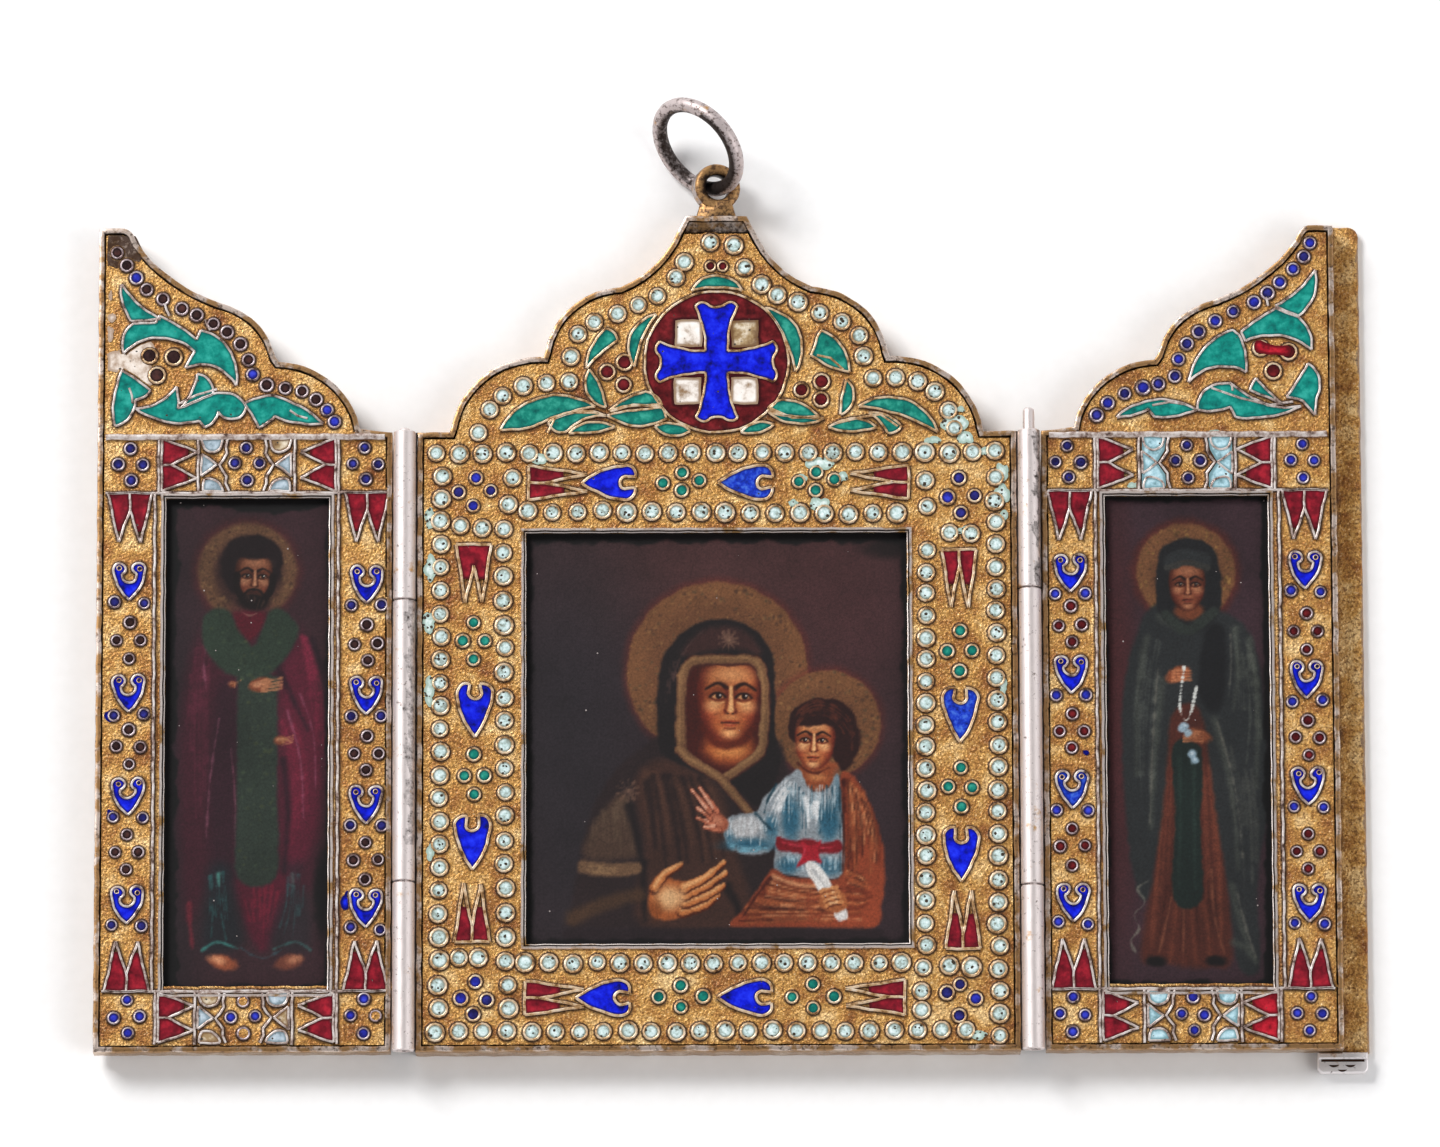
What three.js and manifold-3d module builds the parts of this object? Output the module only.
// A small travelling triptych: three silver trays, hinged side by side, each with an
// enamelled front plate around a painted panel. It lies open on its back, with X across
// the leaves, Y towards the suspension ring and Z up. The origin is on the back face of
// the centre leaf, at the middle of its straight part. Lengths are in millimetres.
import * as THREE from "three";
import { mergeVertices } from "three/addons/utils/BufferGeometryUtils.js";
import Module from "manifold-3d";

const wasm = await Module();
wasm.setup();

// Leaves
const LEAF_DEPTH = 3.4;
const STEP_DEPTH = 0.8;
const HALF_WIDTH = 25.15;
const FOOT = -26.25;
const SHOULDER = 26.2;
const RIM = 0.45;
const FLOOR = 0.6;

// Front plates: a gap of their own inside the rim, and the relief that stands on them
const PLATE_GAP = 0.12;
const PLATE_THICKNESS = 0.6;
const PLATE_SINK = 0.3;
const RELIEF = 0.25;
const RELIEF_ROOT = 0.2;
const WINDOW_RIM = 0.4;
const PLATE_TOP = LEAF_DEPTH - PLATE_SINK;
const PLATE_BACK = PLATE_TOP - PLATE_THICKNESS;

// Hinges: the axes lie a little above the front rims, so that the closed leaves clear
const HINGE_X = 26.2;
const HINGE_Z = LEAF_DEPTH + 0.15;
const WALL_TO_AXIS = HINGE_X - HALF_WIDTH;
const KNUCKLE_RADIUS = 0.93;
const KNUCKLE_BORE = 0.6;
const KNUCKLE_GAP = 0.12;
const PIN_RADIUS = 0.52;
const LEFT_JOINTS = [11.8, -12.05];
const RIGHT_JOINTS = [12.7, -12.45];

// Wings, measured from their hinge axis towards the free edge
const WING_EDGE = 25.8;
const WING_TIP = SHOULDER + 17.6;
const WING_WINDOW = { near: 6.35, far: 20.0, low: -21.2, high: 20.6 };
const STRIP_WIDTH = 4.3;
const STRIP_REACH = 2.25;
const MOULDING_EDGE = 23.4;
const MOULDING_WIDTH = 1.6;
// The left wing's back is set a little further in, so that the strip closes over it
const LEFT_BACK = STEP_DEPTH + 0.1;
const RIGHT_BACK = STEP_DEPTH;

// Centre leaf
const WINDOW = { left: -16.0, right: 15.9, low: -17.25, high: 17.55 };
const COLLAR_FOOT = SHOULDER + 17.6;
const COLLAR_TOP = COLLAR_FOOT + 0.95;
const MEDALLION = { y: SHOULDER + 6.0, radius: 6.1, cross: 5.05 };

// Suspension
const EYE = { y: COLLAR_TOP + 2.6, z: 2.3, radius: 2.0, hole: 1.28, depth: 1.5, turn: 0.277 };
const RING = { x: -1.51, y: EYE.y + 3.16, z: 4.13, radius: 4.05, wire: 0.64 };
const RING_NORMAL = new THREE.Vector3(-0.603, -0.609, 0.514).normalize();

const BEAD_SIDES = 5;
const BEAD_RADIUS = 0.8;

// ---------------------------------------------------------------- solids

function solid(geometry) {
  const bare = geometry.index ? geometry.toNonIndexed() : geometry;
  bare.deleteAttribute("normal");
  bare.deleteAttribute("uv");
  const merged = mergeVertices(bare, 1e-4);
  return new wasm.Manifold(new wasm.Mesh({
    numProp: 3,
    vertProperties: new Float32Array(merged.attributes.position.array),
    triVerts: new Uint32Array(merged.index.array),
  }));
}

function geometryOf(body) {
  const mesh = body.getMesh();
  const geometry = new THREE.BufferGeometry();
  geometry.setAttribute("position", new THREE.BufferAttribute(mesh.vertProperties, 3));
  geometry.setIndex(new THREE.BufferAttribute(mesh.triVerts, 1));
  geometry.computeVertexNormals();
  return geometry;
}

function slab(points, low, high) {
  const shape = new THREE.Shape(points);
  const geometry = new THREE.ExtrudeGeometry(shape, { depth: high - low, bevelEnabled: false });
  return solid(geometry.translate(0, 0, low));
}

function block(left, right, low, high, back, front) {
  const geometry = new THREE.BoxGeometry(right - left, high - low, front - back);
  return solid(geometry.translate((left + right) / 2, (low + high) / 2, (back + front) / 2));
}

// A round bar along Y, from one height on the leaf to another.
function bar(radius, x, z, low, high, sides) {
  const geometry = new THREE.CylinderGeometry(radius, radius, high - low, sides);
  return solid(geometry.translate(x, (low + high) / 2, z));
}

function joined(first, others) {
  return others.reduce((whole, piece) => whole.add(piece), first);
}

// ---------------------------------------------------------------- outlines

const mirrored = (points) => points.map((p) => new THREE.Vector2(-p.x, p.y)).reverse();
const moved = (points, x, y) => points.map((p) => new THREE.Vector2(p.x + x, p.y + y));

// A closed outline from corners [x, y, bulge]. The side after a corner is an arc whose
// rise is the bulge times half its chord: outwards where the bulge is positive.
function arcs(corners, steps = 2) {
  const points = [];
  corners.forEach(([x, y, bulge], index) => {
    const [nextX, nextY] = corners[(index + 1) % corners.length];
    const start = new THREE.Vector2(x, y);
    points.push(start);
    if (!bulge) return;
    const chord = new THREE.Vector2(nextX - x, nextY - y);
    const turn = 4 * Math.atan(bulge);
    const offset = chord.length() / 2 / Math.tan(turn / 2);
    const centre = start.clone().addScaledVector(chord, 0.5)
      .add(new THREE.Vector2(-chord.y, chord.x).setLength(1).multiplyScalar(offset));
    for (let step = 1; step < steps; step += 1) {
      points.push(start.clone().rotateAround(centre, turn * step / steps));
    }
  });
  return points;
}

// The outline moved inwards, each corner along its own bisector.
function inset(points, distance) {
  const inward = (from, to) => {
    const along = to.clone().sub(from).normalize();
    return new THREE.Vector2(-along.y, along.x);
  };
  return points.map((point, index) => {
    const before = points[(index + points.length - 1) % points.length];
    const after = points[(index + 1) % points.length];
    const side = inward(before, point);
    const bisector = side.clone().add(inward(point, after)).normalize();
    return point.clone().addScaledVector(bisector, distance / bisector.dot(side));
  });
}

const withoutRepeats = (points) => points.filter((point, index) =>
  point.distanceTo(points[(index + 1) % points.length]) > 0.05);

// Right side of the centre leaf: shoulder, two lobes, and the hollow sweep to the collar.
function centreOutline(collar) {
  const side = new THREE.Path();
  side.moveTo(HALF_WIDTH, FOOT);
  side.lineTo(HALF_WIDTH, SHOULDER);
  side.lineTo(22.4, SHOULDER);
  side.absellipse(14.9, SHOULDER - 0.8, 7.5, 7.25, 0.16, 1.62, false);
  side.absellipse(7.6, SHOULDER + 6.0, 6.85, 6.45, 0.14, 1.5, false);
  side.quadraticCurveTo(4.7, SHOULDER + 13.8, 3.05, COLLAR_FOOT);
  if (collar) side.lineTo(2.6, COLLAR_TOP);
  const right = withoutRepeats(side.getPoints(4));
  return [...right, ...mirrored(right)];
}

// A wing's outline from its hinge axis outwards, drawn as the right wing.
function wingOutline() {
  const side = new THREE.Path();
  side.moveTo(WALL_TO_AXIS, FOOT);
  side.lineTo(WING_EDGE, FOOT);
  side.lineTo(WING_EDGE, WING_TIP);
  side.lineTo(23.7, WING_TIP);
  side.quadraticCurveTo(22.9, WING_TIP - 0.15, 22.6, WING_TIP - 1.25);
  side.quadraticCurveTo(20.4, SHOULDER + 13.1, 15.9, SHOULDER + 11.25);
  side.absellipse(17.2, SHOULDER + 5.3, 6.4, 6.05, 1.78, 2.95, false);
  side.absellipse(11.0, SHOULDER - 0.8, 7.3, 6.9, 1.62, 2.98, false);
  side.lineTo(WALL_TO_AXIS, SHOULDER);
  return withoutRepeats(side.getPoints(4));
}

// ---------------------------------------------------------------- enamel cells

function bead(x, y, radius = BEAD_RADIUS) {
  const points = [];
  for (let corner = 0; corner < BEAD_SIDES; corner += 1) {
    const angle = (corner / BEAD_SIDES) * 2 * Math.PI;
    points.push(new THREE.Vector2(x + radius * Math.sin(angle), y + radius * Math.cos(angle)));
  }
  return points;
}

function beadRow(from, to, count) {
  const place = (part) => from.map((start, axis) => start + (to[axis] - start) * part);
  return Array.from({ length: count }, (_, index) => bead(...place(index / (count - 1))));
}

// A shape drawn about the origin with its tip down, then turned and set in place.
function placed(points, x, y, turn = 0) {
  const origin = new THREE.Vector2();
  return moved(points.map((p) => p.clone().rotateAround(origin, turn)), x, y);
}

function heart(width, length, steps) {
  const w = width / 2;
  const l = length / 4.8;
  return arcs([
    [0, -2.9 * l, 0.14], [w, 0.6 * l, 0.55], [0.31 * w, 1.5 * l, 0], [0.38 * w, 0.7 * l, -0.8],
    [-0.38 * w, 0.7 * l, 0], [-0.31 * w, 1.5 * l, 0.55], [-w, 0.6 * l, 0.14],
  ], steps);
}

function trianglePair(width, length) {
  const one = (left, right) => [[left, 0], [right, 0], [(left + right) / 2, -length]]
    .map(([x, y]) => new THREE.Vector2(x, y)).reverse();
  const gap = 0.1;
  return [one(-width / 2, -gap), one(gap, width / 2)];
}

// Leaves of the centre dome's right half, drawn from the shoulder line up.
const CENTRE_LEAVES = [
  [[6.6, 5.2, 0.55], [4.1, 10.5, -0.15]],
  [[8.1, 6.3, -0.15], [11.2, 4.9, 0.3], [9.0, 8.4, 0.1]],
  [[10.6, 1.4, 0.45], [10.6, 4.2, -0.2]],
  [[18.8, 0.1, 0.46], [12.0, 2.4, -0.1]],
  [[4.5, 1.8, -0.1], [8.3, 1.4, 0.4]],
  [[5.2, 0.9, 0.4], [9.2, 1.0, -0.1]],
  [[9.9, 0.2, 0.2], [13.4, 0.4, 0.4]],
  [[1.9, -0.1, 0.3], [4.5, 0.4, 0.3]],
];

// Leaves of a wing's dome, drawn from the hinge axis outwards and the shoulder line up.
const WING_LEAVES = [
  [[7.5, 0.8, 0.05], [10.4, 0.7, -0.2], [14.0, 1.3, 0.49]],
  [[14.2, 0.9, -0.3], [17.1, 1.5, 0], [17.4, 0.7, 0.15], [22.9, 1.6, -0.12], [18.4, 2.8, 0.83]],
  [[18.6, 3.1, -0.05], [21.4, 2.0, -0.05], [19.2, 4.0, 0]],
  [[24.1, 1.0, 0.36], [23.5, 5.2, 0.1], [21.7, 2.4, 0], [23.1, 1.9, -0.1]],
  [[13.5, 3.8, -0.45], [18.3, 4.5, 0.1], [17.9, 7.6, 0], [17.2, 8.2, 0.23]],
  [[18.1, 7.2, -0.3], [23.9, 6.5, 0.3], [22.9, 9.2, 0.35], [24.2, 13.1, -0.2],
    [21.0, 10.0, 0.18]],
];

// ---------------------------------------------------------------- front plates

// A plate with a window, a raised rim around it, and its relief.
function frontPlate(outline, window, relief) {
  const { left, right, low, high } = window;
  const rim = [left - WINDOW_RIM, right + WINDOW_RIM, low - WINDOW_RIM, high + WINDOW_RIM];
  const root = PLATE_TOP - RELIEF_ROOT;
  const raised = relief.map((points) => slab(points, root, PLATE_TOP + RELIEF));
  const plate = slab(outline, PLATE_BACK, PLATE_TOP)
    .add(block(...rim, root, PLATE_TOP + RELIEF));
  return joined(plate, raised)
    .intersect(slab(outline, PLATE_BACK, LEAF_DEPTH))
    .subtract(block(left, right, low, high, PLATE_BACK - 1, LEAF_DEPTH));
}

function centreBeads() {
  const { low, high } = WINDOW;
  const top = SHOULDER - 1.8;
  const foot = FOOT + 1.7;
  const sides = [-1, 1].flatMap((side) => [
    ...beadRow([side * 23.4, top - 2.0], [side * 23.4, foot + 2.0], 24),
    ...beadRow([side * 17.7, high - 1.5], [side * 17.5, low + 0.5], 18),
    ...beadRow([side * 21.5, high + 0.5], [side * 17.7, high + 0.5], 3),
    ...beadRow([side * 21.5, low - 1.3], [side * 17.7, low - 1.5], 3),
    ...beadRow([side * 17.4, top - 2.3], [side * 17.6, high + 2.4], 2),
    ...beadRow([side * 17.4, low - 3.6], [side * 17.2, foot + 1.8], 2),
  ]);
  const across = [
    ...beadRow([-23.5, top], [23.4, top], 25),
    ...beadRow([-23.5, foot], [23.2, foot], 25),
    ...beadRow([-15.8, high + 1.8], [15.2, high + 1.8], 17),
    ...beadRow([-16.0, low - 1.65], [15.3, low - 1.65], 17),
  ];
  return [...sides, ...across, ...domeBeads()];
}

// The bead row that follows the dome, at an even distance inside its edge.
function domeBeads() {
  const row = new THREE.Path();
  row.moveTo(20.1, SHOULDER);
  row.absellipse(14.9, SHOULDER - 0.8, 5.2, 5.0, 0.2, 1.6, false);
  row.lineTo(12.4, SHOULDER + 4.6);
  row.absellipse(7.6, SHOULDER + 6.0, 4.7, 4.2, 0.12, 1.45, false);
  row.quadraticCurveTo(4.0, SHOULDER + 11.6, 1.2, COLLAR_FOOT - 1.3);
  return row.getSpacedPoints(14).flatMap(({ x, y }) => [bead(x, y), bead(-x, y)]);
}

function medallion() {
  const { y, radius, cross } = MEDALLION;
  const arm = placed(arcs([
    [-0.85, 0, 0], [0.85, 0, -0.15], [1.7, cross, 0.25], [-1.7, cross, -0.15],
  ], 2), 0, 0);
  const arms = [0, 1, 2, 3].map((quarter) => placed(arm, 0, y, quarter * Math.PI / 2));
  const half = 1.1;
  const square = arcs([[-half, -half, 0], [half, -half, 0], [half, half, 0], [-half, half, 0]]);
  const squares = [[-2.35, 2.5], [2.35, 2.5], [-2.35, -2.5], [2.35, -2.5]]
    .map(([x, up]) => moved(square, x, y + up));
  const circle = (r) => new THREE.Path().absarc(0, y, r, 0, 2 * Math.PI, false)
    .getSpacedPoints(20).slice(1);
  const band = slab(circle(radius), PLATE_TOP - RELIEF_ROOT, PLATE_TOP + RELIEF)
    .subtract(slab(circle(radius - 0.35), PLATE_TOP, PLATE_TOP + 1));
  return { band, cells: [...arms, ...squares] };
}

// Red triangles, blue hearts and their places along the four bands of the centre frame.
function centreMotifs() {
  const quarter = Math.PI / 2;
  const teeth = (x, y, turn) => trianglePair(2.9, 4.2).map((p) => placed(p, x, y, turn));
  const blue = (x, y, turn) => placed(heart(2.9, 4.8, 2), x, y, turn);
  const { low, high } = WINDOW;
  const top = SHOULDER - 4.4;
  const foot = FOOT + 4.4;
  return [
    ...teeth(-20.4, high - 1.0, 0), ...teeth(20.3, high - 1.6, 0),
    ...teeth(-20.5, low + 0.2, Math.PI), ...teeth(20.4, low - 0.5, Math.PI),
    ...teeth(-15.8, top, quarter), ...teeth(16.0, top, -quarter),
    ...teeth(-16.1, foot, quarter), ...teeth(15.5, foot, -quarter),
    blue(-20.3, 3.2, 0), blue(20.3, 2.6, 0), blue(-20.4, -8.0, 0), blue(20.3, -9.1, 0),
    blue(-8.4, top, -quarter), blue(3.1, top, -quarter),
    blue(-8.8, foot, -quarter), blue(2.9, foot, -quarter),
  ];
}

function centrePlate() {
  const outline = inset(centreOutline(false), RIM + PLATE_GAP);
  const { band, cells } = medallion();
  const leaves = CENTRE_LEAVES.map((corners) => moved(arcs(corners), 0, SHOULDER));
  const cap = moved(arcs([[2.1, 0, 0.3], [-2.1, 0, -0.15]]), 0, SHOULDER + 12.1);
  const relief = [
    ...centreBeads(), ...centreMotifs(), ...cells, ...leaves, ...leaves.map(mirrored), cap,
  ];
  return frontPlate(outline, WINDOW, relief).add(band);
}

// A wing plate, drawn as the right wing from its hinge axis outwards.
function wingPlate() {
  const { near, far, low, high } = WING_WINDOW;
  const outline = inset(wingOutline(), RIM + PLATE_GAP);
  const strip = (left, right, bottom, top) =>
    arcs([[left, bottom, 0], [right, bottom, 0], [right, top, 0], [left, top, 0]]);
  const inner = (WALL_TO_AXIS + near) / 2 - 0.3;
  const outer = (far + WING_EDGE) / 2 + 0.2;
  const teeth = (x, y, turn, width, length) =>
    trianglePair(width, length).map((p) => placed(p, x, y, turn));
  const quarter = Math.PI / 2;
  const columns = [inner, outer].flatMap((x) => [
    ...teeth(x, high, 0, 3.6, 3.9),
    ...teeth(x, low, Math.PI, 3.6, 3.9),
    ...[0, 1, 2, 3].map((row) => placed(heart(2.6, 3.2, 1), x, 14.2 - 9.4 * row)),
  ]);
  const bands = [low - 2.6, high + 2.6].flatMap((y) => [
    ...teeth(6.1, y, quarter, 3.6, 2.9), ...teeth(20.5, y, -quarter, 3.6, 2.9),
  ]);
  const left = WALL_TO_AXIS + RIM + 0.2;
  const right = WING_EDGE - RIM - 0.2;
  const divider = strip(left, right, SHOULDER - 0.55, SHOULDER - 0.1);
  const leaves = WING_LEAVES.map((corners) =>
    moved(arcs(corners), 0, SHOULDER + 0.4));
  const berries = [[21.5, 6.5], [19.6, 6.6], [20.7, 5.0]]
    .map(([x, y]) => bead(x, SHOULDER + y, 0.75));
  const window = { left: near, right: far, low, high };
  return frontPlate(outline, window, [...columns, ...bands, divider, ...leaves, ...berries]);
}

// ---------------------------------------------------------------- trays and panels

function centreTray() {
  const outline = centreOutline(true);
  const pocket = inset(centreOutline(false), RIM);
  return slab(outline, 0, LEAF_DEPTH).subtract(slab(pocket, FLOOR, LEAF_DEPTH + 1));
}

// The wing tray's back stands clear of the table on a raised frame, which lies level
// with the closing strip and with the back of the centre leaf.
function wingTray(back) {
  const outline = wingOutline();
  const tray = slab(outline, back, LEAF_DEPTH)
    .subtract(slab(inset(outline, RIM), back + FLOOR, LEAF_DEPTH + 1));
  const left = WALL_TO_AXIS + 0.4;
  const low = FOOT + 0.4;
  const high = SHOULDER - 0.4;
  const overlap = 0.2;
  const frame = block(left, MOULDING_EDGE, low, high, 0, back + overlap)
    .subtract(block(left + MOULDING_WIDTH, MOULDING_EDGE - MOULDING_WIDTH,
      low + MOULDING_WIDTH, high - MOULDING_WIDTH, -1, back));
  return tray.add(frame);
}

// The panel lies on the tray's floor and reaches a little past the window.
function panel(window, floor) {
  const lap = 0.7;
  return block(window.left - lap, window.right + lap, window.low - lap, window.high + lap,
    floor, PLATE_BACK);
}

// ---------------------------------------------------------------- hinges and fittings

// A knuckle with its saddle, which reaches from the barrel to the leaf's wall. Side is +1
// where the leaf is on the +X side of the axis.
function knuckle(x, side, low, high) {
  const reach = side * WALL_TO_AXIS;
  const saddle = block(Math.min(x, x + reach), Math.max(x, x + reach), low, high,
    HINGE_Z - 0.95, HINGE_Z - 0.25);
  return bar(KNUCKLE_RADIUS, x, HINGE_Z, low, high, 12).add(saddle)
    .subtract(bar(KNUCKLE_BORE, x, HINGE_Z, low - 1, high + 1, 10));
}

// The three knuckles of one hinge, from the top down; the middle one is the wing's.
function hingeKnuckles(x, joints) {
  const outwards = Math.sign(x);
  const [upper, lower] = joints;
  const gap = KNUCKLE_GAP / 2;
  return [
    knuckle(x, -outwards, upper + gap, SHOULDER),
    knuckle(x, outwards, lower + gap, upper - gap),
    knuckle(x, -outwards, FOOT, lower - gap),
  ];
}

function pin(x, top) {
  return bar(PIN_RADIUS, x, HINGE_Z, FOOT + 0.1, top, 10);
}

function closingStrip() {
  const left = HINGE_X + WING_EDGE + STRIP_REACH - STRIP_WIDTH;
  const right = HINGE_X + WING_EDGE + STRIP_REACH;
  const top = WING_TIP + 0.35;
  return slab(arcs([
    [left, FOOT, 0], [right, FOOT, 0], [right, top - 0.9, 0.41], [right - 0.9, top, 0],
    [left, top, 0],
  ], 4), 0, STEP_DEPTH);
}

function thumbTab() {
  const middle = HINGE_X + WING_EDGE;
  const half = 2.1;
  const reach = 1.75;
  const round = 0.8;
  const top = 1.5;
  const outline = arcs([
    [middle - half, FOOT, 0], [middle - half, FOOT - reach + round, 0.41],
    [middle - half + round, FOOT - reach, 0], [middle + half - round, FOOT - reach, 0.41],
    [middle + half, FOOT - reach + round, 0], [middle + half, FOOT, 0],
  ], 4);
  const dish = inset(outline, 0.45);
  return slab(outline, 0.3, top).subtract(slab(dish, top - 0.3, top + 1));
}

function suspensionEye() {
  const { y, z, radius, hole, depth, turn } = EYE;
  const disc = (r, length, sides) => {
    const geometry = new THREE.CylinderGeometry(r, r, length, sides);
    return solid(geometry.rotateX(Math.PI / 2).rotateY(turn).translate(0, y, z));
  };
  const neck = block(-1.5, 1.5, COLLAR_TOP, y - 1.2, z - 0.75, z + 0.75);
  return disc(radius, depth, 18).add(neck).subtract(disc(hole, depth + 4, 14));
}

function ringMesh(name, material) {
  const geometry = new THREE.TorusGeometry(RING.radius, RING.wire, 8, 24);
  const mesh = new THREE.Mesh(geometryOf(solid(geometry)), material);
  mesh.name = name;
  mesh.position.set(RING.x, RING.y, RING.z);
  mesh.quaternion.setFromUnitVectors(new THREE.Vector3(0, 0, 1), RING_NORMAL);
  return mesh;
}

// ---------------------------------------------------------------- assembly

const finish = (color, roughness, metalness) =>
  new THREE.MeshStandardMaterial({ color, roughness, metalness });
const silver = () => finish(0xcdc6c0, 0.35, 0.9);
const gilding = () => finish(0xb98a48, 0.45, 0.8);
const enamelled = () => finish(0xb08544, 0.4, 0.6);
const painting = () => finish(0x35262a, 0.5, 0.0);

const triptych = new THREE.Group();

function add(name, body, material) {
  const mesh = new THREE.Mesh(geometryOf(body), material);
  mesh.name = name;
  triptych.add(mesh);
  return mesh;
}

add("centre_tray", centreTray(), silver());
add("centre_plate", centrePlate(), enamelled());
add("centre_painting", panel(WINDOW, FLOOR), painting());
add("suspension_eye", suspensionEye(), gilding());
triptych.add(ringMesh("suspension_ring", silver()));

// The left wing is the right wing's mirror image about X = 0.
function setSide(body, side) {
  const geometry = geometryOf(body);
  geometry.translate(HINGE_X, 0, 0);
  if (side > 0) return geometry;
  geometry.scale(-1, 1, 1);
  const index = geometry.index.array;
  for (let corner = 0; corner < index.length; corner += 3) {
    [index[corner], index[corner + 1]] = [index[corner + 1], index[corner]];
  }
  geometry.computeVertexNormals();
  return geometry;
}

const WINGS = [
  { side: -1, word: "left", joints: LEFT_JOINTS, back: LEFT_BACK },
  { side: 1, word: "right", joints: RIGHT_JOINTS, back: RIGHT_BACK },
];

for (const { side, word, joints, back } of WINGS) {
  const { near, far, low, high } = WING_WINDOW;
  const panelWindow = { left: near, right: far, low, high };
  const pieces = [
    ["tray", wingTray(back), silver()],
    ["plate", wingPlate(), enamelled()],
    ["painting", panel(panelWindow, back + FLOOR), painting()],
  ];
  for (const [kind, body, material] of pieces) {
    const mesh = new THREE.Mesh(setSide(body, side), material);
    mesh.name = `${word}_${kind}`;
    triptych.add(mesh);
  }
  const x = side * HINGE_X;
  const [top, middle, bottom] = hingeKnuckles(x, joints);
  add(`${word}_hinge_knuckle_top`, top, silver());
  add(`${word}_hinge_knuckle_middle`, middle, silver());
  add(`${word}_hinge_knuckle_bottom`, bottom, silver());
  const pinTop = side > 0 ? SHOULDER + 1.9 : SHOULDER + 0.3;
  add(`${word}_hinge_pin`, pin(x, pinTop), silver());
}

add("closing_strip", closingStrip(), gilding());
add("thumb_tab", thumbTab(), silver());

export default triptych;
